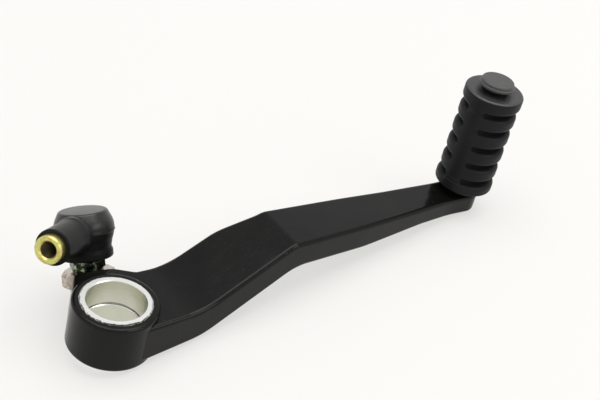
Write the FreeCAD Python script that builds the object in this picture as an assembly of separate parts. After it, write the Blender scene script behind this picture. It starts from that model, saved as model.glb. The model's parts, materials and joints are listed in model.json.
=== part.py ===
import FreeCAD, Part
import math
import os

# Motorcycle gear shift lever with a remote linkage: a cast arm that turns on a pivot bolt,
# a rubber-covered toe peg at its outer end, and a ball joint for the shift rod on a short ear.
#
# Frame, in millimetres: the origin is on the pivot axis at the boss's inner face, +Z runs along
# the pivot axis towards the toe peg's side, and +X runs from the pivot to the toe peg.

V = FreeCAD.Vector

# ---- driving dimensions ---------------------------------------------------------------------

ARM_REACH = 150.0          # pivot axis to toe peg axis

BORE_DIAMETER = 20.0       # running bore of the pivot bushes
BUSH_DIAMETER = 24.0       # outside of the pivot bushes
BOSS_DIAMETER = 29.5
BOSS_HEIGHT = 18.0
BUSH_PROUD = 0.3           # the outer bush stands this far above the boss
UPPER_BUSH_LENGTH = 9.5
BUSH_GAP = 0.9             # grease space between the two bushes

LOW_FACE_Z = 15.8          # top of the arm and ear beside the boss
HIGH_FACE_Z = 32.8         # top of the arm at the head of the ramp
END_FACE_Z = 31.7          # top of the arm's outer end, where the toe peg stands
RAMP_SLOPE = math.radians(26.0)
RAMP_FOOT_X = 27.3
EDGE_RADIUS = 1.4

PEG_DIAMETER = 10.0        # steel core of the toe peg
PEG_HEAD_DIAMETER = 13.5
PEG_SHOULDER_DIAMETER = 12.2
PEG_SHOULDER_HEIGHT = 3.1
PEG_TAIL_DIAMETER = 7.0    # riveted tail through the arm
RUBBER_DIAMETER = 22.2
RUBBER_LENGTH = 41.0
HEAD_TOP_ABOVE_RUBBER = 4.2

BALL_CENTRE = V(5.0, 33.0, 22.0)
STUD_LEAN = math.radians(27.5)          # stud axis against the pivot axis
STUD_LEAN_HEADING = math.radians(89.0)  # the way the stud's top leans, from +X towards +Y
NECK_HEADING = math.radians(-146.0)     # the way the rod neck points, from +X towards +Y
BALL_DIAMETER = 8.0
BALL_CLEARANCE = 0.05
RACE_THICKNESS = 1.0
NECK_LENGTH = 28.2                      # ball centre to the rod neck's end
NECK_DIAMETER = 9.7
ROD_THREAD_MINOR_DIAMETER = 5.0         # M6, modelled at its minor diameter
ROD_THREAD_DEPTH = 17.0
STUD_THREAD_DIAMETER = 10.0
STUD_HEX = 11.0
LOCK_NUT_HEX = 16.2
LOCK_NUT_HEIGHT = 5.4

BORE_RADIUS = BORE_DIAMETER / 2
BUSH_RADIUS = BUSH_DIAMETER / 2
BOSS_RADIUS = BOSS_DIAMETER / 2
FAR = 60.0                              # longer than anything it has to cut through


# ---- helpers --------------------------------------------------------------------------------

def rounded_wire(corners):
    """Closed wire in the XY plane through corners (x, y, radius); a radius rounds its corner."""
    starts, ends, arcs = [], [], []
    count = len(corners)
    for i, (x, y, radius) in enumerate(corners):
        here = V(x, y, 0)
        before = V(*corners[i - 1][:2], 0) - here
        after = V(*corners[(i + 1) % count][:2], 0) - here
        before.normalize()
        after.normalize()
        if not radius:
            starts.append(here)
            ends.append(here)
            arcs.append(None)
            continue
        half = before.getAngle(after) / 2
        run = radius / math.tan(half)
        middle = (before + after).normalize()
        centre = here + middle * (radius / math.sin(half))
        starts.append(here + before * run)
        ends.append(here + after * run)
        arcs.append(Part.Arc(starts[i], centre - middle * radius, ends[i]))
    edges = []
    for i in range(count):
        if arcs[i]:
            edges.append(arcs[i].toShape())
        following = starts[(i + 1) % count]
        if ends[i].distanceToPoint(following) > 1e-6:
            edges.append(Part.LineSegment(ends[i], following).toShape())
    return Part.Wire(edges)


def plate(corners, z_low, z_high):
    """Prism with the given plan outline."""
    face = Part.Face(rounded_wire(corners))
    face.translate(V(0, 0, z_low))
    return face.extrude(V(0, 0, z_high - z_low))


def turned(profile):
    """Solid of revolution about Z from corners (r, z, radius)."""
    face = Part.Face(rounded_wire(profile))
    face.rotate(V(0, 0, 0), V(1, 0, 0), 90)
    return face.revolve(V(0, 0, 0), V(0, 0, 1), 360)


def cylinder(radius, z_low, z_high, x=0.0, y=0.0):
    return Part.makeCylinder(radius, z_high - z_low, V(x, y, z_low))


def hexagon(across_flats, z_low, z_high, turn_degrees=0.0):
    """Hexagonal prism about Z whose corners are chamfered at both ends."""
    corner = across_flats / math.sqrt(3)
    angles = [math.radians(turn_degrees + 60 * i) for i in range(6)]
    body = plate([(corner * math.cos(t), corner * math.sin(t), 0) for t in angles], z_low, z_high)
    flat = across_flats / 2
    drop = (corner - flat) * 0.6
    blank = turned([
        (0, z_low, 0), (flat, z_low, 0), (corner, z_low + drop, 0),
        (corner, z_high - drop, 0), (flat, z_high, 0), (0, z_high, 0),
    ])
    return body.common(blank)


def frame_at(origin, x_axis, z_axis):
    """Placement whose local axes are the given directions."""
    y_axis = z_axis.cross(x_axis)
    matrix = FreeCAD.Matrix(
        x_axis.x, y_axis.x, z_axis.x, origin.x,
        x_axis.y, y_axis.y, z_axis.y, origin.y,
        x_axis.z, y_axis.z, z_axis.z, origin.z,
        0, 0, 0, 1,
    )
    return FreeCAD.Placement(matrix)


def placed(shape, placement):
    moved = shape.copy()
    moved.transformShape(placement.toMatrix())
    return moved


# ---- the ball joint's two frames --------------------------------------------------------------

STUD_AXIS = V(
    math.sin(STUD_LEAN) * math.cos(STUD_LEAN_HEADING),
    math.sin(STUD_LEAN) * math.sin(STUD_LEAN_HEADING),
    math.cos(STUD_LEAN),
)
NECK_AXIS = V(
    math.cos(NECK_HEADING),
    math.sin(NECK_HEADING),
    -math.tan(STUD_LEAN) * math.cos(NECK_HEADING - STUD_LEAN_HEADING),
).normalize()
TOWARDS_BOSS = V(
    -math.cos(STUD_LEAN) * math.cos(STUD_LEAN_HEADING),
    -math.cos(STUD_LEAN) * math.sin(STUD_LEAN_HEADING),
    math.sin(STUD_LEAN),
)

# Heights along the stud axis, measured from the ball's centre.
HEX_TOP = -10.2
HEX_BOTTOM = -13.2
NUT_TOP = -14.0
NUT_BOTTOM = NUT_TOP - LOCK_NUT_HEIGHT
STUD_END = NUT_BOTTOM - 4.0

SOCKET_FRAME = frame_at(BALL_CENTRE, NECK_AXIS, STUD_AXIS)
EAR_FRAME = frame_at(BALL_CENTRE + STUD_AXIS * NUT_BOTTOM, TOWARDS_BOSS, STUD_AXIS)


# ---- lever arm ------------------------------------------------------------------------------

ARM_END_RADIUS = 7.0
PEG_HOLE_RADIUS = PEG_TAIL_DIAMETER / 2
RIVET_FLARE = 1.4          # the tail is spread this much into the hole's countersink
RIVET_RADIUS = PEG_HOLE_RADIUS + RIVET_FLARE
ARM_END_UNDERSIDE_Z = 23.9
EAR_HALF_WIDTH = 6.6
EAR_UNDERSIDE_Z = -2.0
SPOT_FACE_RADIUS = 10.2


def arm_blank():
    """Arm from the boss to the toe peg: its plan outline crossed with its side profile."""
    tip_x = ARM_REACH + ARM_END_RADIUS
    tip_corner = (tip_x, ARM_END_RADIUS, ARM_END_RADIUS - 0.4)
    ear_side = [
        (0, 14.4, 0), (22, 13.8, 60), (47, 14.8, 20), (61, 11.0, 20),
        (95, 9.5, 200), (141, 6.5, 60), tip_corner,
    ]
    plain_side = [(0, 14.4, 0), (20, 13.3, 60), (60, 10.8, 150), (95, 9.2, 200), (141, 6.2, 60), tip_corner]
    outline = ear_side + [(x, -y, radius) for x, y, radius in reversed(plain_side)]
    plan = plate(outline, 0, FAR)

    ramp_top_x = RAMP_FOOT_X + (HIGH_FACE_Z - LOW_FACE_Z) / math.tan(RAMP_SLOPE)
    profile = plate([
        (-1, LOW_FACE_Z, 0), (RAMP_FOOT_X, LOW_FACE_Z, 30), (ramp_top_x, HIGH_FACE_Z, 6),
        (116, END_FACE_Z, 150), (tip_x + 1, END_FACE_Z, 0), (tip_x + 1, ARM_END_UNDERSIDE_Z, 0),
        (126, ARM_END_UNDERSIDE_Z, 60), (98, 21.9, 60), (65.3, 22.4, 20), (28.5, 4.2, 25), (-1, 1.0, 0),
    ], -FAR, FAR)
    profile.rotate(V(0, 0, 0), V(1, 0, 0), 90)
    arm = plan.common(profile)

    def runs_along_the_arm(edge):
        box = edge.BoundBox
        upright = box.ZLength > 0.9 * edge.Length
        crosses = box.XLength < 0.01 and box.YLength > 1
        return box.XMax > 1 and not upright and not crosses
    return arm.makeFillet(EDGE_RADIUS, [edge for edge in arm.Edges if runs_along_the_arm(edge)])


def boss_blank():
    return turned([
        (0, 0, 0), (BOSS_RADIUS, 0, 1.3), (BOSS_RADIUS, BOSS_HEIGHT, 1.2), (0, BOSS_HEIGHT, 0),
    ])


def ear_blank():
    """Web beside the boss and the leaning lug under the ball joint, before any hole."""
    web = plate([
        (-6, 3, 0), (-10.9, 9.9, 0), (-5.2, 19.4, 2), (0.5, 19.4, 3), (8.8, 18.2, 5),
        (16.0, 13.4, 8), (24, 12.6, 0), (24, 3, 0),
    ], 2.0, LOW_FACE_Z)
    outer_top = [
        edge for edge in web.Edges
        if edge.BoundBox.ZMin > LOW_FACE_Z - 0.01 and edge.CenterOfMass.y > 11 and edge.BoundBox.XMax < 23.9
    ]
    web = web.makeFillet(1.0, outer_top)
    depth = 11.0
    lug = plate([
        (14, -EAR_HALF_WIDTH, 0), (14, EAR_HALF_WIDTH, 0),
        (-EAR_HALF_WIDTH, EAR_HALF_WIDTH, EAR_HALF_WIDTH - 0.05),
        (-EAR_HALF_WIDTH, -EAR_HALF_WIDTH, EAR_HALF_WIDTH - 0.05),
    ], -depth, 0)
    keep = Part.makeBox(2 * FAR, 2 * FAR, FAR, V(-FAR, -FAR, EAR_UNDERSIDE_Z))
    lug = placed(lug, EAR_FRAME).common(keep)
    spot_face = placed(cylinder(SPOT_FACE_RADIUS, 0, 40), EAR_FRAME)
    return web.cut(spot_face).fuse(lug)


def lever_arm():
    body = boss_blank().fuse([arm_blank(), ear_blank()]).removeSplitter()
    body = body.cut(cylinder(BUSH_RADIUS, -FAR, FAR))
    stud_hole = placed(cylinder(STUD_THREAD_DIAMETER / 2, STUD_END - NUT_BOTTOM, 20), EAR_FRAME)
    peg_hole = turned([
        (0, ARM_END_UNDERSIDE_Z - 1, 0), (RIVET_RADIUS, ARM_END_UNDERSIDE_Z - 1, 0),
        (RIVET_RADIUS, ARM_END_UNDERSIDE_Z, 0),
        (PEG_HOLE_RADIUS, ARM_END_UNDERSIDE_Z + RIVET_FLARE, 0), (PEG_HOLE_RADIUS, END_FACE_Z + 1, 0),
        (0, END_FACE_Z + 1, 0),
    ])
    peg_hole.translate(V(ARM_REACH, 0, 0))
    return body.cut(stud_hole).cut(peg_hole)


# ---- pivot bushes ---------------------------------------------------------------------------

def bush(z_low, z_high):
    chamfer = 0.3
    return turned([
        (BORE_RADIUS + chamfer, z_low, 0), (BUSH_RADIUS, z_low, 0), (BUSH_RADIUS, z_high - chamfer / 2, 0),
        (BUSH_RADIUS - chamfer / 2, z_high, 0), (BORE_RADIUS + chamfer, z_high, 0),
        (BORE_RADIUS, z_high - chamfer, 0), (BORE_RADIUS, z_low + chamfer, 0),
    ])


UPPER_BUSH_TOP = BOSS_HEIGHT + BUSH_PROUD
UPPER_BUSH_FOOT = UPPER_BUSH_TOP - UPPER_BUSH_LENGTH
LOWER_BUSH_TOP = UPPER_BUSH_FOOT - BUSH_GAP


# ---- toe peg --------------------------------------------------------------------------------

RUBBER_FOOT_Z = END_FACE_Z + PEG_SHOULDER_HEIGHT
RUBBER_TOP_Z = RUBBER_FOOT_Z + RUBBER_LENGTH
HEAD_TOP_Z = RUBBER_TOP_Z + HEAD_TOP_ABOVE_RUBBER


def toe_peg():
    """Turned steel pin: riveted tail, shoulder on the arm, plain core, and a stepped round head."""
    core = PEG_DIAMETER / 2
    head = PEG_HEAD_DIAMETER / 2
    shoulder = PEG_SHOULDER_DIAMETER / 2
    pin = turned([
        (0, ARM_END_UNDERSIDE_Z, 0), (RIVET_RADIUS, ARM_END_UNDERSIDE_Z, 0),
        (PEG_HOLE_RADIUS, ARM_END_UNDERSIDE_Z + RIVET_FLARE, 0), (PEG_HOLE_RADIUS, END_FACE_Z, 0),
        (shoulder, END_FACE_Z, 0), (shoulder, RUBBER_FOOT_Z, 0.5), (core, RUBBER_FOOT_Z, 0),
        (core, HEAD_TOP_Z - 2.2, 0), (head, HEAD_TOP_Z - 2.2, 0.3), (head, HEAD_TOP_Z - 1.2, 0.3),
        (head - 0.6, HEAD_TOP_Z - 1.0, 0), (head - 0.6, HEAD_TOP_Z, 0.4), (0, HEAD_TOP_Z, 0),
    ])
    pin.translate(V(ARM_REACH, 0, 0))
    return pin


GROOVE_COUNT = 5
TOP_FLANGE = 5.2
BOTTOM_FLANGE = 4.1
GROOVE_WIDTH = 2.1
GROOVE_DEPTH = 2.8
RIB_INSET = 0.3            # the ribs are this much smaller in radius than the flanges
SPINE_WIDTH = 7.0
SPINE_HEADING = -165.0     # degrees from +X; a second spine is opposite


def peg_rubber():
    """Ribbed rubber sleeve: two flanges, rounded ribs between grooves, and two plain spines."""
    outer = RUBBER_DIAMETER / 2
    rib = outer - RIB_INSET
    root = outer - GROOVE_DEPTH
    inner = PEG_DIAMETER / 2
    z_low = RUBBER_FOOT_Z + BOTTOM_FLANGE
    z_high = RUBBER_TOP_Z - TOP_FLANGE
    pitch = (z_high - z_low - GROOVE_WIDTH) / (GROOVE_COUNT - 1)
    profile = [(inner, RUBBER_FOOT_Z, 0), (outer, RUBBER_FOOT_Z, 0.8), (outer, z_low, 0.9)]
    for i in range(GROOVE_COUNT):
        foot = z_low + i * pitch
        profile += [(root, foot, 0.5), (root, foot + GROOVE_WIDTH, 0.5)]
        if i < GROOVE_COUNT - 1:
            profile += [(rib, foot + GROOVE_WIDTH, 1.3), (rib, foot + pitch, 1.3)]
    profile += [(outer, z_high, 0.9), (outer, RUBBER_TOP_Z, 0.9), (inner, RUBBER_TOP_Z, 0)]
    sleeve = turned(profile)
    across = Part.makeBox(2 * FAR, SPINE_WIDTH, z_high - z_low, V(-FAR, -SPINE_WIDTH / 2, z_low))
    across.rotate(V(0, 0, 0), V(0, 0, 1), SPINE_HEADING)
    ring = cylinder(rib + 0.1, z_low, z_high).cut(cylinder(inner, z_low, z_high))
    sleeve = sleeve.fuse(ring.common(across)).removeSplitter()
    sleeve.translate(V(ARM_REACH, 0, 0))
    return sleeve


# ---- ball joint, modelled about the ball's centre with +Z along the stud and +X along the neck ---

BALL_RADIUS = BALL_DIAMETER / 2
STUD_NECK_RADIUS = 2.3
RACE_INNER = BALL_RADIUS + BALL_CLEARANCE
RACE_OUTER = RACE_INNER + RACE_THICKNESS
CAVITY = RACE_OUTER + BALL_CLEARANCE
MOUTH_ANGLE = math.radians(59.0)       # half angle that the socket leaves open for the stud
HOUSING_RADIUS = 8.0
HOUSING_FOOT = -5.2
CAP_FOOT = 3.3
CAP_RADIUS = CAVITY + 0.5
CAP_TOP = CAVITY + 0.35
RING_THICKNESS = 0.4
HOUSING_TOP = CAP_TOP + RING_THICKNESS + 0.15
BOOT_TOP = 6.9
BOOT_GIRTH_Z = -0.2
BOOT_LIP_RADIUS = 9.2
BOOT_LIP_WALL = 1.8
BOOT_FOOT = -9.6
SLEEVE_RADIUS = 6.2
SLEEVE_END = NECK_LENGTH - 3.4


def ball(radius):
    return Part.makeSphere(radius)


def along_neck(radius, x_low, x_high):
    return Part.makeCylinder(radius, x_high - x_low, V(x_low, 0, 0), V(1, 0, 0))


def mouth_cone(reach):
    """Cone from the ball's centre down through the socket's mouth."""
    return Part.makeCone(0, reach * math.tan(MOUTH_ANGLE), reach, V(0, 0, 0), V(0, 0, -1))


def ball_stud():
    """Ball, slim neck, hexagon and threaded shank in one piece."""
    shank_radius = STUD_THREAD_DIAMETER / 2
    shaft = turned([
        (0, STUD_END, 0), (shank_radius - 0.8, STUD_END, 0), (shank_radius, STUD_END + 0.8, 0),
        (shank_radius, NUT_TOP, 0), (STUD_HEX / 2 - 0.2, NUT_TOP, 0), (STUD_HEX / 2 - 0.2, HEX_BOTTOM, 0),
        (STUD_NECK_RADIUS, HEX_BOTTOM, 0), (STUD_NECK_RADIUS, -3, 0), (0, -3, 0),
    ])
    return shaft.fuse([ball(BALL_RADIUS), hexagon(STUD_HEX, HEX_BOTTOM, HEX_TOP, 38)]).removeSplitter()


def stud_lock_nut():
    nut = hexagon(LOCK_NUT_HEX, NUT_BOTTOM, NUT_TOP, 8)
    return nut.cut(cylinder(STUD_THREAD_DIAMETER / 2, NUT_BOTTOM - 1, NUT_TOP + 1))


def socket_body():
    """Round housing with its cavity open above and below, and the threaded neck for the shift rod."""
    housing = turned([
        (0, HOUSING_FOOT, 0), (HOUSING_RADIUS, HOUSING_FOOT, 0.6), (HOUSING_RADIUS, HOUSING_TOP, 0.6),
        (0, HOUSING_TOP, 0),
    ])
    neck_radius = NECK_DIAMETER / 2
    neck = along_neck(neck_radius, 0, NECK_LENGTH)
    end_edges = [e for e in neck.Edges if e.BoundBox.XMin > NECK_LENGTH - 0.01]
    neck = neck.makeChamfer(0.5, end_edges)
    thread_radius = ROD_THREAD_MINOR_DIAMETER / 2
    thread = along_neck(thread_radius, NECK_LENGTH - ROD_THREAD_DEPTH, NECK_LENGTH + 1)
    mouth = 0.8
    countersink = Part.makeCone(
        thread_radius, thread_radius + mouth, mouth, V(NECK_LENGTH - mouth, 0, 0), V(1, 0, 0))
    body = housing.fuse(neck).removeSplitter()
    cavity = ball(CAVITY).fuse([cylinder(CAVITY, 0, CAP_FOOT + 0.1), mouth_cone(6)])
    cap_seat = cylinder(CAP_RADIUS, CAP_FOOT, FAR)
    ring_groove = cylinder(CAP_RADIUS + 0.4, CAP_TOP, CAP_TOP + RING_THICKNESS)
    return body.cut([cavity, cap_seat, ring_groove, thread, countersink])


def race(z_low, z_high):
    shell = ball(RACE_OUTER).cut([ball(RACE_INNER), mouth_cone(12)])
    return shell.common(cylinder(2 * CAVITY, z_low, z_high))


def closing_cap():
    return cylinder(CAP_RADIUS, CAP_FOOT, CAP_TOP).cut(ball(CAVITY))


def snap_ring():
    ring = cylinder(CAP_RADIUS + 0.4, CAP_TOP, CAP_TOP + RING_THICKNESS)
    gap = Part.makeBox(2 * CAP_RADIUS, 2.4, 4, V(-2 * CAP_RADIUS, -1.2, CAP_TOP - 1))
    return ring.cut([cylinder(CAP_RADIUS - 0.9, CAP_TOP - 1, CAP_TOP + 3), gap])


def dust_boot():
    """Rubber boot over the whole housing, with a lip round the stud and a sleeve over the neck."""
    outside = turned([
        (0, BOOT_FOOT, 0), (BOOT_LIP_RADIUS, BOOT_FOOT, 0.8), (BOOT_LIP_RADIUS, -7.3, 0.8),
        (8.7, -6.0, 0.8), (9.2, -3.4, 3), (10.2, -0.5, 0), (10.5, BOOT_GIRTH_Z, 0),
        (10.3, 2.8, 8), (8.3, BOOT_TOP, 1.2), (0, BOOT_TOP, 0),
    ])
    outside = outside.fuse(along_neck(SLEEVE_RADIUS, 0, SLEEVE_END)).removeSplitter()
    seat = cylinder(HOUSING_RADIUS, HOUSING_FOOT, HOUSING_TOP)
    skirt = cylinder(BOOT_LIP_RADIUS - BOOT_LIP_WALL, BOOT_FOOT - 1, HOUSING_FOOT)
    return outside.cut([seat, skirt, along_neck(NECK_DIAMETER / 2, 0, NECK_LENGTH)])


def boot_ring():
    """Small wire ring that keeps the boot's inner edge on the stud's neck."""
    wire = 0.45
    ring = Part.makeTorus(STUD_NECK_RADIUS + wire + 0.06, wire)
    ring.translate(V(0, 0, HEX_TOP + wire + 0.06))
    return ring


# ---- export ---------------------------------------------------------------------------------

parts = {
    "lever_arm": lever_arm(),
    "pivot_bush_upper": bush(UPPER_BUSH_FOOT, UPPER_BUSH_TOP),
    "pivot_bush_lower": bush(0, LOWER_BUSH_TOP),
    "toe_peg": toe_peg(),
    "peg_rubber": peg_rubber(),
    "ball_stud": placed(ball_stud(), SOCKET_FRAME),
    "stud_lock_nut": placed(stud_lock_nut(), SOCKET_FRAME),
    "boot_ring": placed(boot_ring(), SOCKET_FRAME),
    "ball_race_lower": placed(race(-2 * CAVITY, 0), SOCKET_FRAME),
    "ball_race_upper": placed(race(0, 2 * CAVITY), SOCKET_FRAME),
    "socket_body": placed(socket_body(), SOCKET_FRAME),
    "closing_cap": placed(closing_cap(), SOCKET_FRAME),
    "snap_ring": placed(snap_ring(), SOCKET_FRAME),
    "dust_boot": placed(dust_boot(), SOCKET_FRAME),
}

os.makedirs("parts", exist_ok=True)
for name, shape in parts.items():
    assert shape.isValid() and len(shape.Solids) == 1, f"{name}: {len(shape.Solids)} solids"
    shape.exportStep(f"parts/{name}.step")
    box = shape.BoundBox
    print(f"{name}: {shape.Volume:.0f} mm3, x {box.XMin:.1f}..{box.XMax:.1f}, "
          f"y {box.YMin:.1f}..{box.YMax:.1f}, z {box.ZMin:.1f}..{box.ZMax:.1f}")
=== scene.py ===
import json
import math

import bmesh
import bpy
from mathutils import Matrix, Quaternion, Vector


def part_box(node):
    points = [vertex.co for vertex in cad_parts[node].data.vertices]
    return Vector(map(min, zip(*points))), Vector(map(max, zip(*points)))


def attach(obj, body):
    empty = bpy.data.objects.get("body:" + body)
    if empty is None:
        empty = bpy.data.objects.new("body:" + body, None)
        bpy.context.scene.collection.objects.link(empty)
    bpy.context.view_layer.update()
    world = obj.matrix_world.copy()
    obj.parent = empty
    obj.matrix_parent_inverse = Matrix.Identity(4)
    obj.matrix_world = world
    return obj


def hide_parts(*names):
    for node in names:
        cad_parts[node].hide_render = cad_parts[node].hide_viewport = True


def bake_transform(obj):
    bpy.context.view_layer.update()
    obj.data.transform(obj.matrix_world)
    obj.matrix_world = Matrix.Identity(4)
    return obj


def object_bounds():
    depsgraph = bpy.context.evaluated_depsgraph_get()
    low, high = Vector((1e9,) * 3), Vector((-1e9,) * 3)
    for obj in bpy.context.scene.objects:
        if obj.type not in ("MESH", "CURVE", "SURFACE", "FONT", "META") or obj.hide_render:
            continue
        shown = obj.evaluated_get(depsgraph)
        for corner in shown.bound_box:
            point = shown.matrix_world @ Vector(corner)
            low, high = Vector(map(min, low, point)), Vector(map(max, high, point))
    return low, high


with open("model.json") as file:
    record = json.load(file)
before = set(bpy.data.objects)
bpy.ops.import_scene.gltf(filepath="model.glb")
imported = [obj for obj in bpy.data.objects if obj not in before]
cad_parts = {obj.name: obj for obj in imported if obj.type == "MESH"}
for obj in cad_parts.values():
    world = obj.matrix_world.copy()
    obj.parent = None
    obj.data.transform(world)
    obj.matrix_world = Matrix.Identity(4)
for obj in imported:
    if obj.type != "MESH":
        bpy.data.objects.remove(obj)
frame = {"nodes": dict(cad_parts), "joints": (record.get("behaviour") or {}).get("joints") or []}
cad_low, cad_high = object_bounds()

# Looks of a motorcycle gear shift lever: a gloss black cast arm with bright pivot bushes, a ribbed
# rubber toe peg, and a rubber-booted ball joint with a yellow-plated threaded neck.
# Outlines are in millimetres until a mesh is made, and MM turns them into metres. Places inside
# the shaders, the floor's radius and the lights are in metres.

MM = 0.001
TAU = 2 * math.pi

# ---- the frame's own places ---------------------------------------------------------------------

nodes = frame["nodes"]
joints = {j["name"]: j for j in frame["joints"]}
BALL = Vector(joints["ball_swivel"]["pos_m"])
STUD_AXIS = Vector(joints["ball_swivel"]["axis"])
NECK_AXIS = Vector(joints["ball_roll"]["axis"])


def frame_matrix(origin, x_axis, z_axis):
    """Matrix from local metres to the row frame, with the given local axes."""
    y_axis = z_axis.cross(x_axis)
    turn = Matrix((x_axis, y_axis, z_axis)).transposed()
    return Matrix.Translation(origin) @ turn.to_4x4()


def box_centre(node):
    low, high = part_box(node)
    return (low + high) / 2


# Ball joint: origin at the ball's centre, +Z along the stud, +X along the rod neck.
SOCKET = frame_matrix(BALL, NECK_AXIS, STUD_AXIS)
# The same place, turned so that the local +Z runs along the rod neck.
NECK = frame_matrix(BALL, -STUD_AXIS, NECK_AXIS)
RUBBER_LOW, RUBBER_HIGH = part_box("peg_rubber")
PEG_CENTRE = box_centre("toe_peg")
PEG = Matrix.Translation((PEG_CENTRE.x, PEG_CENTRE.y, RUBBER_LOW.z))
HEAD_HEIGHT = 2.3 * MM
HEAD_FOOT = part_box("toe_peg")[1].z - HEAD_HEIGHT


# ---- mesh helpers -------------------------------------------------------------------------------

def new_object(name, points, faces, place):
    """Mesh object from points in local millimetres, put at its place in the row frame."""
    mesh = bpy.data.meshes.new(name)
    mesh.from_pydata([place @ (Vector(p) * MM) for p in points], [], faces)
    mesh.validate()
    made = bpy.data.objects.new(name, mesh)
    bpy.context.scene.collection.objects.link(made)
    face_outwards(made)
    return made


def face_outwards(made):
    work = bmesh.new()
    work.from_mesh(made.data)
    bmesh.ops.recalc_face_normals(work, faces=work.faces)
    work.to_mesh(made.data)
    work.free()


def shade_smooth(made, angle_degrees=35):
    """Smooth shading, with edges sharper than the angle kept crisp."""
    work = bmesh.new()
    work.from_mesh(made.data)
    limit = math.radians(angle_degrees)
    for face in work.faces:
        face.smooth = True
    for edge in work.edges:
        edge.smooth = len(edge.link_faces) != 2 or edge.calc_face_angle(0) < limit
    work.to_mesh(made.data)
    work.free()


def rounded(corners, arc_steps=6):
    """Closed profile through corners (r, z, radius), with each radius drawn as an arc."""
    points = []
    count = len(corners)
    for i, (x, y, radius) in enumerate(corners):
        here = Vector((x, y))
        if not radius:
            points.append((x, y))
            continue
        before = (Vector(corners[i - 1][:2]) - here).normalized()
        after = (Vector(corners[(i + 1) % count][:2]) - here).normalized()
        half = before.angle(after) / 2
        run = radius / math.tan(half)
        centre = here + (before + after).normalized() * (radius / math.sin(half))
        start = here + before * run - centre
        end = here + after * run - centre
        for k in range(arc_steps + 1):
            share = k / arc_steps
            spoke = start.slerp(end, share, start)
            points.append(tuple(centre + spoke.normalized() * radius))
    return points


def lathe(name, profile, place, columns=128):
    """Closed solid turned about local +Z from a closed profile; points on the axis become poles."""
    points, faces, rings = [], [], []
    for r, z in profile:
        if r < 1e-6:
            rings.append([len(points)] * columns)
            points.append((0, 0, z))
            continue
        rings.append([len(points) + i for i in range(columns)])
        for i in range(columns):
            angle = TAU * i / columns
            points.append((r * math.cos(angle), r * math.sin(angle), z))
    for a, b in zip(rings, rings[1:] + rings[:1]):
        for i in range(columns):
            j = (i + 1) % columns
            corners = list(dict.fromkeys((a[i], a[j], b[j], b[i])))
            if len(corners) > 2:
                faces.append(corners)
    return new_object(name, points, faces, place)


def field_solid(name, rows, columns, point, place):
    """Closed ring of rows and columns; point(row, column) gives each vertex in local millimetres."""
    points = [point(i, j) for i in range(rows) for j in range(columns)]
    faces = [
        (i * columns + j, i * columns + (j + 1) % columns,
         (i + 1) % rows * columns + (j + 1) % columns, (i + 1) % rows * columns + j)
        for i in range(rows) for j in range(columns)
    ]
    return new_object(name, points, faces, place)


def subtract(made, cutter):
    """Cuts the cutter out of the object and removes the cutter."""
    modifier = made.modifiers.new("cut", "BOOLEAN")
    modifier.operation = "DIFFERENCE"
    modifier.solver = "EXACT"
    modifier.object = cutter
    bpy.context.view_layer.update()
    graph = bpy.context.evaluated_depsgraph_get()
    result = bpy.data.meshes.new_from_object(made.evaluated_get(graph))
    made.modifiers.clear()
    made.data = result
    bpy.data.objects.remove(cutter)


def smooth_step(value, low, high):
    share = min(1.0, max(0.0, (value - low) / (high - low)))
    return share * share * (3 - 2 * share)


# ---- shader helpers -----------------------------------------------------------------------------

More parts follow.
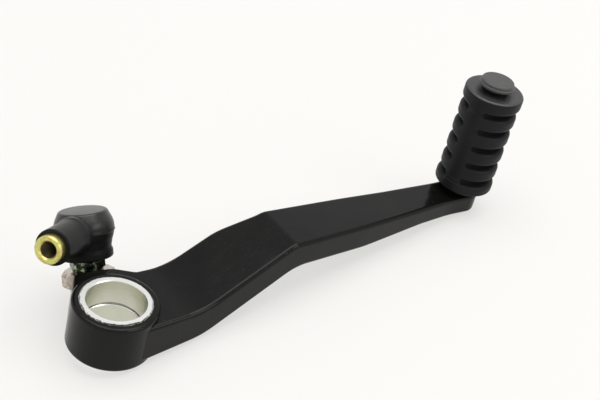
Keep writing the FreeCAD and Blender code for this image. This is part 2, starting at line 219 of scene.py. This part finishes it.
class Shader:
    """A material's node tree, with short calls for the few nodes used here."""

    def __init__(self, name, base, roughness, metallic=0.0, specular=0.5):
        self.material = bpy.data.materials.new(name)
        self.material.use_nodes = True
        self.nodes = self.material.node_tree.nodes
        self.links = self.material.node_tree.links
        self.surface = self.nodes["Principled BSDF"]
        self.set("Base Color", (*base, 1.0))
        self.set("Roughness", roughness)
        self.set("Metallic", metallic)
        self.set("Specular IOR Level", specular)
        self.place = self.nodes.new("ShaderNodeTexCoord").outputs["Object"]

    def set(self, socket, value):
        """Gives a socket of the surface a value or another node's output."""
        self.feed(self.surface.inputs[socket], value)

    def feed(self, socket, value):
        if isinstance(value, bpy.types.NodeSocket):
            self.links.new(value, socket)
        else:
            socket.default_value = value

    def maths(self, operation, a, b=0.0, clamp=False):
        node = self.nodes.new("ShaderNodeMath")
        node.operation = operation
        node.use_clamp = clamp
        self.feed(node.inputs[0], a)
        self.feed(node.inputs[1], b)
        return node.outputs[0]

    def separate(self, vector):
        node = self.nodes.new("ShaderNodeSeparateXYZ")
        self.feed(node.inputs[0], vector)
        return node.outputs

    def local(self, place):
        """Coordinates, in metres, along the axes of a place in the row frame."""
        node = self.nodes.new("ShaderNodeMapping")
        node.vector_type = "POINT"
        inverse = place.inverted()
        self.feed(node.inputs["Vector"], self.place)
        node.inputs["Location"].default_value = inverse.to_translation()
        node.inputs["Rotation"].default_value = inverse.to_euler()
        return node.outputs[0]

    def noise(self, cell_mm, detail=2.0, vector=None, roughness=0.5):
        """Noise from 0 to 1 whose cells are about cell_mm across."""
        node = self.nodes.new("ShaderNodeTexNoise")
        self.feed(node.inputs["Vector"], vector or self.place)
        node.inputs["Scale"].default_value = 1 / (cell_mm * MM)
        node.inputs["Detail"].default_value = detail
        node.inputs["Roughness"].default_value = roughness
        return node.outputs[0]

    def lines(self, along, cell_mm, detail=3.0):
        """Noise in one dimension, as for turning marks across a length in metres."""
        node = self.nodes.new("ShaderNodeTexNoise")
        node.noise_dimensions = "1D"
        self.feed(node.inputs["W"], along)
        node.inputs["Scale"].default_value = 1 / (cell_mm * MM)
        node.inputs["Detail"].default_value = detail
        return node.outputs[0]

    def spread(self, value, low, high):
        """Maps 0..1 to low..high."""
        node = self.nodes.new("ShaderNodeMapRange")
        self.feed(node.inputs["Value"], value)
        node.inputs["To Min"].default_value = low
        node.inputs["To Max"].default_value = high
        return node.outputs[0]

    def step(self, value, low, high):
        """0 below low and 1 above high, smooth between."""
        node = self.nodes.new("ShaderNodeMapRange")
        node.interpolation_type = "SMOOTHSTEP"
        self.feed(node.inputs["Value"], value)
        node.inputs["From Min"].default_value = low
        node.inputs["From Max"].default_value = high
        return node.outputs[0]

    def mix(self, share, a, b):
        node = self.nodes.new("ShaderNodeMix")
        node.data_type = "RGBA"
        self.feed(node.inputs["Factor"], share)
        self.feed(node.inputs["A"], (*a, 1.0) if isinstance(a, tuple) else a)
        self.feed(node.inputs["B"], (*b, 1.0) if isinstance(b, tuple) else b)
        return node.outputs["Result"]

    def ramp(self, value, stops):
        node = self.nodes.new("ShaderNodeValToRGB")
        self.feed(node.inputs[0], value)
        elements = node.color_ramp.elements
        while len(elements) < len(stops):
            elements.new(0.5)
        for element, (position, colour) in zip(elements, stops):
            element.position = position
            element.color = (*colour, 1.0)
        return node.outputs[0]

    def bump(self, layers):
        """Bump from (height, depth in millimetres) layers, one on top of the other."""
        normal = None
        for height, depth_mm in layers:
            node = self.nodes.new("ShaderNodeBump")
            node.inputs["Distance"].default_value = depth_mm * MM
            self.feed(node.inputs["Height"], height)
            if normal:
                self.feed(node.inputs["Normal"], normal)
            normal = node.outputs[0]
        self.set("Normal", normal)
        return self.material


def radius_from_axis(shader, vector):
    x, y, _ = shader.separate(vector)
    squares = shader.maths("ADD", shader.maths("MULTIPLY", x, x), shader.maths("MULTIPLY", y, y))
    return shader.maths("SQRT", squares)


# ---- materials ----------------------------------------------------------------------------------

def arm_paint():
    """Gloss black paint over a casting, chipped thin where it meets the pivot bush."""
    shader = Shader("arm_paint", (0.004, 0.004, 0.0042), 0.15, specular=0.17)
    orange_peel = shader.noise(1.6, 2.0)
    casting = shader.noise(9.0, 3.0)
    dust = shader.step(shader.noise(0.5, 3.0), 0.66, 0.74)
    paint = shader.mix(shader.noise(25.0), (0.003, 0.003, 0.0033), (0.007, 0.0068, 0.006))
    paint = shader.mix(shader.maths("MULTIPLY", dust, 0.1), paint, (0.16, 0.16, 0.15))
    radius = radius_from_axis(shader, shader.place)
    ragged = shader.maths("ADD", radius, shader.spread(shader.noise(0.9, 3.0), -0.0005, 0.0005))
    height = shader.separate(shader.place)[2]
    rim = shader.maths("SUBTRACT", 1.0, shader.step(ragged, 0.0121, 0.01225))
    bore = shader.maths("SUBTRACT", 1.0, shader.step(radius, 0.01203, 0.01206))
    top = shader.step(height, 0.0172, 0.0177)
    bare = shader.maths("MAXIMUM", bore, shader.maths("MULTIPLY", rim, top))
    shader.set("Base Color", shader.mix(bare, paint, (0.72, 0.72, 0.68)))
    shader.set("Metallic", bare)
    shader.set("Roughness", shader.spread(shader.noise(6.0, 3.0), 0.09, 0.21))
    return shader.bump([(casting, 0.1), (orange_peel, 0.02), (dust, 0.01)])


def bush_metal():
    """Bright turned metal, with a ragged rim of black paint round the outer edge."""
    shader = Shader("bush_metal", (0.86, 0.86, 0.83), 0.25, metallic=1.0)
    radius = radius_from_axis(shader, shader.place)
    height = shader.separate(shader.place)[2]
    marks = shader.lines(shader.maths("ADD", radius, height), 0.12)
    stain = shader.noise(5.0, 4.0)
    face = shader.mix(stain, (0.86, 0.86, 0.82), (0.95, 0.95, 0.93))
    # The bore's wall is darker and yellower than the end face: painted shade inside the bore.
    bore = shader.mix(stain, (0.6, 0.61, 0.5), (0.74, 0.74, 0.65))
    metal = shader.mix(shader.step(radius, 0.01005, 0.0102), bore, face)
    worn_side = shader.spread(shader.noise(9.0, 2.0), -0.0004, 0.0003)
    ragged = shader.maths("ADD", radius, shader.spread(shader.noise(1.1, 4.0), -0.0006, 0.0006))
    ragged = shader.maths("ADD", ragged, worn_side)
    painted = shader.maths(
        "MULTIPLY", shader.step(ragged, 0.0118, 0.01195), shader.step(height, 0.0175, 0.0178))
    shader.set("Base Color", shader.mix(painted, metal, (0.008, 0.008, 0.009)))
    shader.set("Metallic", shader.maths("SUBTRACT", 1.0, painted))
    shader.set("Roughness", shader.spread(marks, 0.2, 0.36))
    return shader.bump([(marks, 0.006), (stain, 0.01)])


def peg_steel():
    """Satin dark coating on the turned steel peg; below the head it is near-black and dull, as painted shade
    in the gap under the head.
    """
    shader = Shader("peg_steel", (0.03, 0.03, 0.031), 0.38, specular=0.6)
    centre = Matrix.Translation((PEG_CENTRE.x, PEG_CENTRE.y, 0))
    at_peg = shader.local(centre)
    radius = radius_from_axis(shader, at_peg)
    height = shader.separate(at_peg)[2]
    marks = shader.lines(shader.maths("ADD", radius, height), 0.15)
    grain = shader.noise(0.35, 3.0)
    coating = shader.mix(shader.noise(3.0, 3.0), (0.026, 0.026, 0.027), (0.05, 0.048, 0.047))
    # Below the head's foot the steel is near-black with little specular: painted shade in the gap between the
    # head and the rubber.
    head = shader.step(height, HEAD_FOOT, HEAD_FOOT + 0.0003)
    shader.set("Base Color", shader.mix(head, (0.004, 0.004, 0.004), coating))
    shader.set("Specular IOR Level", shader.spread(head, 0.15, 0.55))
    shader.set("Roughness", shader.spread(grain, 0.32, 0.46))
    return shader.bump([(marks, 0.004), (grain, 0.012)])


def moulded_rubber(name, base, roughness, grain_mm, grain_depth, specular):
    """Moulded black rubber: fine grain, slight bloom and a few scuffs."""
    shader = Shader(name, base, roughness)
    bloom = shader.noise(7.0, 4.0, roughness=0.6)
    grain = shader.noise(grain_mm, 3.0)
    scuffs = shader.step(shader.noise(1.3, 5.0, roughness=0.7), 0.6, 0.72)
    lighter = tuple(1.7 * c + 0.003 for c in base)
    colour = shader.mix(bloom, base, lighter)
    shader.set("Base Color", shader.mix(shader.maths("MULTIPLY", scuffs, 0.12), colour, (0.05, 0.05, 0.049)))
    shader.set("Specular IOR Level", specular(shader))
    shader.set("Roughness", shader.spread(bloom, roughness - 0.06, roughness + 0.08))
    return shader.bump([(shader.noise(2.5, 3.0), 0.05), (grain, grain_depth)])


def peg_sheen(shader):
    """The peg rubber shines on its handled outer end and is dull down in its grooves."""
    local = shader.local(PEG)
    height = shader.separate(local)[2]
    top = shader.step(height, (RUBBER_HEIGHT - 0.6) * MM, (RUBBER_HEIGHT - 0.1) * MM)
    proud = shader.step(radius_from_axis(shader, local), (RUBBER_OUTER - 2.4) * MM, (RUBBER_OUTER - 0.7) * MM)
    side = shader.spread(proud, 0.0, 0.11)
    return shader.maths("MAXIMUM", side, shader.maths("MULTIPLY", top, 0.75))


def boot_sheen(shader):
    """The boot shines on its crown and is dull below and on its sleeve."""
    along, _, height = shader.separate(shader.local(SOCKET))
    crown = shader.step(height, -0.002, 0.006)
    cover = shader.maths("SUBTRACT", 1.0, shader.step(along, 0.009, 0.0115))
    sleeve_share = shader.spread(cover, 0.25, 1.0)
    return shader.spread(shader.maths("MULTIPLY", crown, sleeve_share), 0.04, 0.5)


def oily_thread_painted_shade(shader, radius, along, colour):
    """Bare, oily steel in the neck's thread, with painted shade inside the hole: near-black in the thread's
    roots, lighter on its crests.
    """
    metal = shader.mix(shader.step(radius, 0.0025, 0.0029), (0.09, 0.07, 0.035), (0.006, 0.005, 0.003))
    beyond = shader.step(radius, 0.00308, 0.00316)
    mouth = shader.step(along, 0.0275, 0.0278)
    return shader.mix(shader.maths("MAXIMUM", beyond, mouth), metal, colour)


def zinc_plating(name, tints, roughness, marks_place, marks_mm=0.14, threaded=False):
    """Turned steel, zinc-plated or bare, whose tint drifts from place to place."""
    shader = Shader(name, tints[1], roughness, metallic=1.0)
    local = shader.local(marks_place)
    radius, along = radius_from_axis(shader, local), shader.separate(local)[2]
    marks = shader.lines(shader.maths("ADD", radius, along), marks_mm)
    drift = shader.noise(1.8, 4.0, roughness=0.6)
    stops = [(0.32 + 0.12 * i, tint) for i, tint in enumerate(tints)]
    spots = shader.step(shader.noise(0.45, 3.0), 0.62, 0.7)
    colour = shader.ramp(drift, stops)
    dull = tuple(0.45 * c for c in tints[1])
    colour = shader.mix(shader.maths("MULTIPLY", spots, 0.3), colour, dull)
    # In a threaded part, painted shade darkens the inside of the neck's thread.
    if threaded:
        colour = oily_thread_painted_shade(shader, radius, along, colour)
    shader.set("Base Color", colour)
    shader.set("Roughness", shader.spread(drift, roughness - 0.05, roughness + 0.1))
    return shader.bump([(marks, 0.006), (drift, 0.012)])


def race_plastic():
    """Natural bearing plastic inside the socket."""
    shader = Shader("race_plastic", (0.82, 0.8, 0.74), 0.45)
    shader.set("Base Color", shader.mix(shader.noise(2.0), (0.8, 0.78, 0.7), (0.86, 0.85, 0.8)))
    shader.set("Subsurface Weight", 0.1)
    return shader.bump([(shader.noise(0.4), 0.01)])


# ---- pieces -------------------------------------------------------------------------------------

def finish_node(name, material):
    """Gives a CAD node its material."""
    node = nodes[name]
    if not node.material_slots:
        node.data.materials.append(material)
    for slot in node.material_slots:
        slot.material = material


def finish_piece(made, body, material):
    made.data.materials.clear()
    made.data.materials.append(material)
    if body:
        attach(made, body)


# Toe peg rubber, in local millimetres above its own foot.
RUBBER_HEIGHT = (RUBBER_HIGH.z - RUBBER_LOW.z) / MM
RUBBER_OUTER = (RUBBER_HIGH.y - RUBBER_LOW.y) / MM / 2
RUBBER_INNER = 5.02
GROOVE_COUNT = 5
TOP_FLANGE = 5.2
BOTTOM_FLANGE = 4.1
GROOVE_WIDTH = 2.1
GROOVE_DEPTH = 3.1
RIB_ROUNDING = 1.6
RIB_INSET = 0.3
SPINE_HEADING = math.radians(-165)
SPINE_HALF_WIDTH = 3.5
END_EDGE = 0.8
CREASE_DEPTH = 0.35


def rubber_outside(z):
    """Radius of the plain outside, how far the ribs' edges round in, and the groove's share."""
    end_distance = min(z, RUBBER_HEIGHT - z)
    outside = RUBBER_OUTER
    if end_distance < END_EDGE:
        outside -= END_EDGE - math.sqrt(END_EDGE ** 2 - (END_EDGE - end_distance) ** 2)
    first = BOTTOM_FLANGE + GROOVE_WIDTH / 2
    pitch = (RUBBER_HEIGHT - TOP_FLANGE - GROOVE_WIDTH / 2 - first) / (GROOVE_COUNT - 1)
    distance = min(abs(z - first - i * pitch) for i in range(GROOVE_COUNT)) - GROOVE_WIDTH / 2
    inside_edge = min(1.0, max(0.0, 1 - distance / RIB_ROUNDING))
    edge = RIB_ROUNDING * (1 - math.sqrt(1 - inside_edge ** 2)) if distance > 0 else RIB_ROUNDING
    groove = 1 - smooth_step(distance, -0.45, 0.15)
    outside -= CREASE_DEPTH * math.exp(-((z - BOTTOM_FLANGE - 0.2) / 0.28) ** 2)
    top_groove = RUBBER_HEIGHT - TOP_FLANGE - GROOVE_WIDTH
    past_foot = smooth_step(z, BOTTOM_FLANGE, BOTTOM_FLANGE + GROOVE_WIDTH)
    outside -= RIB_INSET * past_foot * (1 - smooth_step(z, top_groove, top_groove + GROOVE_WIDTH))
    return outside, edge, groove


def peg_rubber():
    """Ribbed rubber sleeve whose grooves stop at two plain spines."""
    columns, steps = 288, 300
    outside = []
    for i in range(steps + 1):
        share = i / steps
        outside.append((RUBBER_HEIGHT * share, *rubber_outside(RUBBER_HEIGHT * share)))
    cut = []
    for j in range(columns):
        off = (TAU * j / columns - SPINE_HEADING) % math.pi
        off = min(off, math.pi - off)
        past_spine = smooth_step(RUBBER_OUTER * off, SPINE_HALF_WIDTH - 0.35, SPINE_HALF_WIDTH + 0.35)
        cut.append(past_spine * math.sin(off) ** 0.8)
    faces_in = 6
    rows = steps + 1 + 2 * faces_in

    def point(i, j):
        angle = TAU * j / columns
        if i <= steps:
            z, plain, edge, groove = outside[i]
            deepest = edge * (1 - groove) + GROOVE_DEPTH * groove
            r = plain - cut[j] * deepest
        elif i <= steps + faces_in:
            z = RUBBER_HEIGHT
            rim = outside[steps][1]
            r = rim + (RUBBER_INNER - rim) * (i - steps) / faces_in
        else:
            z = 0.0
            rim = outside[0][1]
            r = RUBBER_INNER + (rim - RUBBER_INNER) * (i - steps - faces_in - 1) / faces_in
        return r * math.cos(angle), r * math.sin(angle), z

    made = field_solid("peg_rubber_sleeve", rows, columns, point, PEG)
    shade_smooth(made, 50)
    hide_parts("peg_rubber")
    rubber = moulded_rubber("peg_rubber", (0.006, 0.0062, 0.007), 0.42, 0.3, 0.012, peg_sheen)
    finish_piece(made, "root", rubber)


# Ball joint boot, in local millimetres about the ball's centre.
BOOT_TOP = 6.9
SEAT_RADIUS = 8.02
SEAT_TOP = 6.02
COVER_FOOT = -2.4
WAIST_FOOT = -6.0
BOOT_FOOT = -9.6
BOOT_GIRTH = 10.5
WAIST_RADIUS = 8.75
LIP_RADIUS = 9.2
LIP_INNER = 7.4
SLEEVE_RADIUS = 6.2
SLEEVE_BORE = 4.87
SLEEVE_END = 24.8

# The neck's M6 thread, along the neck from the ball's centre.
TAP_START = 11.4
TAP_END = 28.8
THREAD_MINOR_RADIUS = 2.46
THREAD_DEPTH = 0.56
THREAD_PITCH = 1.0


def neck_cutter(radius):
    return lathe("neck_cutter", [(0, 2), (radius, 2), (radius, 14), (0, 14)], NECK, 96)


def boot_cover(rubber):
    """Upper shell of the boot with its mould parting ridge."""
    made = lathe("boot_cover", rounded([
        (0, BOOT_TOP, 0), (8.3, BOOT_TOP, 1.2), (10.3, 2.8, 8), (10.38, 0.1, 0), (BOOT_GIRTH, -0.12, 0),
        (BOOT_GIRTH, -0.28, 0), (10.25, -0.5, 0), (9.75, COVER_FOOT, 0), (SEAT_RADIUS, COVER_FOOT, 0),
        (SEAT_RADIUS, SEAT_TOP, 0), (0, SEAT_TOP, 0),
    ], 10), SOCKET, 160)
    subtract(made, neck_cutter(SLEEVE_BORE))
    shade_smooth(made, 30)
    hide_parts("dust_boot")
    finish_piece(made, "socket", rubber)


def boot_waist(rubber):
    """Narrowing part of the boot."""
    made = lathe("boot_waist", rounded([
        (9.75, COVER_FOOT, 0), (9.3, -3.6, 3), (WAIST_RADIUS, WAIST_FOOT, 0),
        (SEAT_RADIUS, WAIST_FOOT, 0), (SEAT_RADIUS, COVER_FOOT, 0),
    ], 8), SOCKET, 160)
    subtract(made, neck_cutter(SLEEVE_RADIUS - 0.3))
    shade_smooth(made, 30)
    finish_piece(made, None, rubber)
    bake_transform(made)


def boot_lip(rubber):
    """Lip of the boot."""
    made = lathe("boot_lip", rounded([
        (WAIST_RADIUS, WAIST_FOOT, 0), (LIP_RADIUS, -7.4, 0.7), (LIP_RADIUS, BOOT_FOOT, 0.7),
        (LIP_INNER, BOOT_FOOT, 0.3), (LIP_INNER, -7.0, 0.3), (SEAT_RADIUS, WAIST_FOOT, 0),
    ], 8), SOCKET, 160)
    subtract(made, neck_cutter(SLEEVE_RADIUS - 0.3))
    shade_smooth(made, 30)
    finish_piece(made, None, rubber)
    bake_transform(made)


def boot_membrane(rubber):
    """Thin web from the lip in to the bead that the wire ring holds on the stud."""
    made = lathe("boot_membrane", rounded([
        (3.3, -10.15, 0.2), (4.3, -10.15, 0.2), (4.6, -9.8, 0.1), (7.5, -9.45, 0),
        (7.5, -8.9, 0), (4.5, -9.25, 0.2), (3.3, -9.25, 0.2),
    ], 4), SOCKET, 128)
    shade_smooth(made, 40)
    finish_piece(made, "boot_mouth", rubber)


def boot_sleeve(rubber):
    """Sleeve of the boot over the rod neck, flared where it runs into the cover."""
    columns, outer_steps = 128, 90
    root = 7.0
    fillet = 0.45
    bead = 0.5
    inner_steps = 8
    rows = outer_steps + 1 + inner_steps

    def point(i, j):
        angle = TAU * j / columns
        if i <= outer_steps:
            z = root + (SLEEVE_END - root) * i / outer_steps
            across = SLEEVE_RADIUS * math.sin(angle)
            wall = math.sqrt(BOOT_GIRTH ** 2 - across ** 2) - 0.25
            r = SLEEVE_RADIUS + fillet * math.exp(-max(0.0, z - wall) / 0.9)
            from_end = SLEEVE_END - z
            if from_end < bead:
                r -= bead - math.sqrt(bead ** 2 - (bead - from_end) ** 2)
        else:
            share = (i - outer_steps - 1) / (inner_steps - 1)
            z = SLEEVE_END + (root - SLEEVE_END) * share
            r = SLEEVE_BORE
        return r * math.cos(angle), r * math.sin(angle), z

    made = field_solid("boot_sleeve", rows, columns, point, NECK)
    shade_smooth(made, 50)
    finish_piece(made, "socket", rubber)


def tap(name, start, end, minor, depth, pitch, place):
    """Screw-shaped cutter about local +Z that leaves an internal thread."""
    columns = 72
    rows = int((end - start) / pitch * 12)
    points, faces = [], []
    for i in range(rows + 1):
        z = start + (end - start) * i / rows
        for j in range(columns):
            turn = (z / pitch - j / columns) % 1.0
            crest = max(0.0, 1 - abs(turn - 0.5) / 0.42)
            r = minor + depth * min(1.0, crest * 1.15)
            angle = TAU * j / columns
            points.append((r * math.cos(angle), r * math.sin(angle), z))
    for i in range(rows):
        for j in range(columns):
            k = (j + 1) % columns
            faces.append((i * columns + j, i * columns + k, (i + 1) * columns + k, (i + 1) * columns + j))
    faces.append(tuple(range(columns)))
    faces.append(tuple(rows * columns + j for j in range(columns)))
    return new_object(name, points, faces, place)


def socket_body():
    """Yellow-plated socket with a cut M6 thread in its neck."""
    made = bpy.data.objects.new("socket_threaded", nodes["socket_body"].data.copy())
    bpy.context.scene.collection.objects.link(made)
    custom_normals = made.data.attributes.get("custom_normal")
    if custom_normals:
        made.data.attributes.remove(custom_normals)
    weld(made)
    subtract(made, tap("tap", TAP_START, TAP_END, THREAD_MINOR_RADIUS, THREAD_DEPTH, THREAD_PITCH, NECK))
    shade_smooth(made, 30)
    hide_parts("socket_body")
    tints = [(0.46, 0.56, 0.16), (0.66, 0.62, 0.2), (0.58, 0.5, 0.16), (0.5, 0.32, 0.16)]
    plating = zinc_plating("socket_plating", tints, 0.3, NECK, threaded=True)
    finish_piece(made, "socket", plating)


def weld(made):
    work = bmesh.new()
    work.from_mesh(made.data)
    bmesh.ops.remove_doubles(work, verts=work.verts, dist=1e-7)
    work.to_mesh(made.data)
    work.free()


def build_object():
    rubber = moulded_rubber("boot_rubber", (0.004, 0.0039, 0.0039), 0.3, 0.4, 0.006, boot_sheen)
    peg_rubber()
    boot_cover(rubber)
    boot_waist(rubber)
    boot_lip(rubber)
    boot_membrane(rubber)
    boot_sleeve(rubber)
    socket_body()
    finish_node("lever_arm", arm_paint())
    bush = bush_metal()
    finish_node("pivot_bush_upper", bush)
    finish_node("pivot_bush_lower", bush)
    finish_node("toe_peg", peg_steel())
    # The stud's plating is near-black with a few pale green spots: painted shade of the boot over its hex,
    # with painted glints.
    stud_tints_painted_shade = [(0.006, 0.007, 0.006), (0.012, 0.014, 0.01), (0.03, 0.04, 0.024), (0.4, 0.5, 0.3)]
    finish_node("ball_stud", zinc_plating("stud_plating", stud_tints_painted_shade, 0.26, SOCKET))
    # Warm grey tints, darker than bright zinc: painted shade and a painted reflection of dark surroundings on
    # the nut's faces; the closing cap uses them too.
    silver_darkened_as_shade = [(0.26, 0.21, 0.17), (0.34, 0.29, 0.24), (0.46, 0.41, 0.35), (0.6, 0.58, 0.54)]
    finish_node("stud_lock_nut", zinc_plating("nut_plating", silver_darkened_as_shade, 0.15, SOCKET))
    grey = [(0.36, 0.36, 0.37), (0.46, 0.46, 0.47), (0.52, 0.52, 0.52), (0.42, 0.43, 0.45)]
    wire = zinc_plating("spring_steel", grey, 0.32, SOCKET)
    finish_node("boot_ring", wire)
    finish_node("snap_ring", wire)
    finish_node("closing_cap", zinc_plating("cap_steel", silver_darkened_as_shade, 0.35, SOCKET))
    plastic = race_plastic()
    finish_node("ball_race_upper", plastic)
    finish_node("ball_race_lower", plastic)


# ---- stage, light and camera --------------------------------------------------------------------

FLOOR_NORMAL = Vector((-0.1664, 0.0943, 0.9815)).normalized()  # the lever lies on three points
FLOOR_RADIUS = 1.6


def floor_material():
    """Pale table top that gives off light; its underside is clear, so that low views see the object."""
    shader = Shader("table", (0.25, 0.248, 0.244), 0.55, specular=0.1)
    shader.set("Emission Color", (1.0, 0.992, 0.966, 1.0))
    shader.set("Emission Strength", 0.6)
    clear = shader.nodes.new("ShaderNodeBsdfTransparent")
    chosen = shader.nodes.new("ShaderNodeMixShader")
    side = shader.nodes.new("ShaderNodeNewGeometry")
    output = shader.nodes["Material Output"]
    shader.links.new(side.outputs["Backfacing"], chosen.inputs[0])
    shader.links.new(shader.surface.outputs[0], chosen.inputs[1])
    shader.links.new(clear.outputs[0], chosen.inputs[2])
    shader.links.new(chosen.outputs[0], output.inputs["Surface"])
    return shader.material


def build_floor():
    lowest = min(v.co.dot(FLOOR_NORMAL) for node in nodes.values() for v in node.data.vertices)
    x_axis = Vector((0, 1, 0)).cross(FLOOR_NORMAL).normalized()
    place = frame_matrix(FLOOR_NORMAL * lowest, x_axis, FLOOR_NORMAL)
    reach = FLOOR_RADIUS / MM
    columns = 64
    angles = [TAU * i / columns for i in range(columns)]
    points = [(reach * math.cos(angle), reach * math.sin(angle), 0) for angle in angles]
    floor = new_object("table", points, [tuple(range(columns))], place)
    if floor.data.polygons[0].normal.dot(FLOOR_NORMAL) < 0:
        floor.data.flip_normals()
    floor.data.materials.append(floor_material())


def build_world():
    """Soft studio surround: bright towards the horizon and greyer overhead."""
    world = bpy.data.worlds.new("studio")
    world.use_nodes = True
    bpy.context.scene.world = world
    tree_nodes, links = world.node_tree.nodes, world.node_tree.links
    direction = tree_nodes.new("ShaderNodeTexCoord")
    split = tree_nodes.new("ShaderNodeSeparateXYZ")
    ramp = tree_nodes.new("ShaderNodeValToRGB")
    links.new(direction.outputs["Generated"], split.inputs[0])
    links.new(split.outputs[2], ramp.inputs[0])
    links.new(ramp.outputs[0], tree_nodes["Background"].inputs["Color"])
    stops = ramp.color_ramp.elements
    stops[0].position, stops[0].color = 0.12, (0.96, 0.955, 0.94, 1)
    stops[1].position, stops[1].color = 0.75, (0.72, 0.72, 0.73, 1)
    tree_nodes["Background"].inputs["Strength"].default_value = 1.0


def softbox(name, location, target, width, height, power, colour=(1.0, 0.985, 0.96)):
    light = bpy.data.lights.new(name, "AREA")
    light.shape = "RECTANGLE"
    light.size = width
    light.size_y = height
    light.energy = power
    light.color = colour
    lamp = bpy.data.objects.new(name, light)
    lamp.location = location
    lamp.rotation_mode = "QUATERNION"
    lamp.rotation_quaternion = (Vector(target) - Vector(location)).to_track_quat("-Z", "Y")
    bpy.context.scene.collection.objects.link(lamp)


def build_lights():
    centre = (cad_low + cad_high) / 2
    softbox("overhead", (0.1, 0.1, 1.2), centre, 1.3, 1.0, 12)
    softbox("front", (0.5, -0.9, 0.8), centre, 0.7, 0.4, 3)


# The camera looks at a point above the arm's middle, from the boss's side.
CAMERA_TARGET = Vector((76.05, 8.05, 36.24)) * MM
CAMERA_AZIMUTH = math.radians(-44.31)
CAMERA_ELEVATION = math.radians(33.34)
CAMERA_ROLL = math.radians(15.44)
CAMERA_DISTANCE = 458.5 * MM
CAMERA_LENS = 77.34


def build_camera():
    level = math.cos(CAMERA_ELEVATION)
    back = Vector((
        math.sin(CAMERA_AZIMUTH) * level,
        -math.cos(CAMERA_AZIMUTH) * level,
        math.sin(CAMERA_ELEVATION),
    ))
    data = bpy.data.cameras.new("camera")
    data.lens = CAMERA_LENS
    data.sensor_width = 36.0
    data.clip_start = 0.01
    camera = bpy.data.objects.new("camera", data)
    camera.location = CAMERA_TARGET + back * CAMERA_DISTANCE
    camera.rotation_mode = "QUATERNION"
    camera.rotation_quaternion = (-back).to_track_quat("-Z", "Y") @ Quaternion((0, 0, 1), CAMERA_ROLL)
    bpy.context.scene.collection.objects.link(camera)
    bpy.context.scene.camera = camera


bpy.context.scene.view_settings.view_transform = "Standard"
build_camera()
build_object()
build_floor()
build_world()
build_lights()
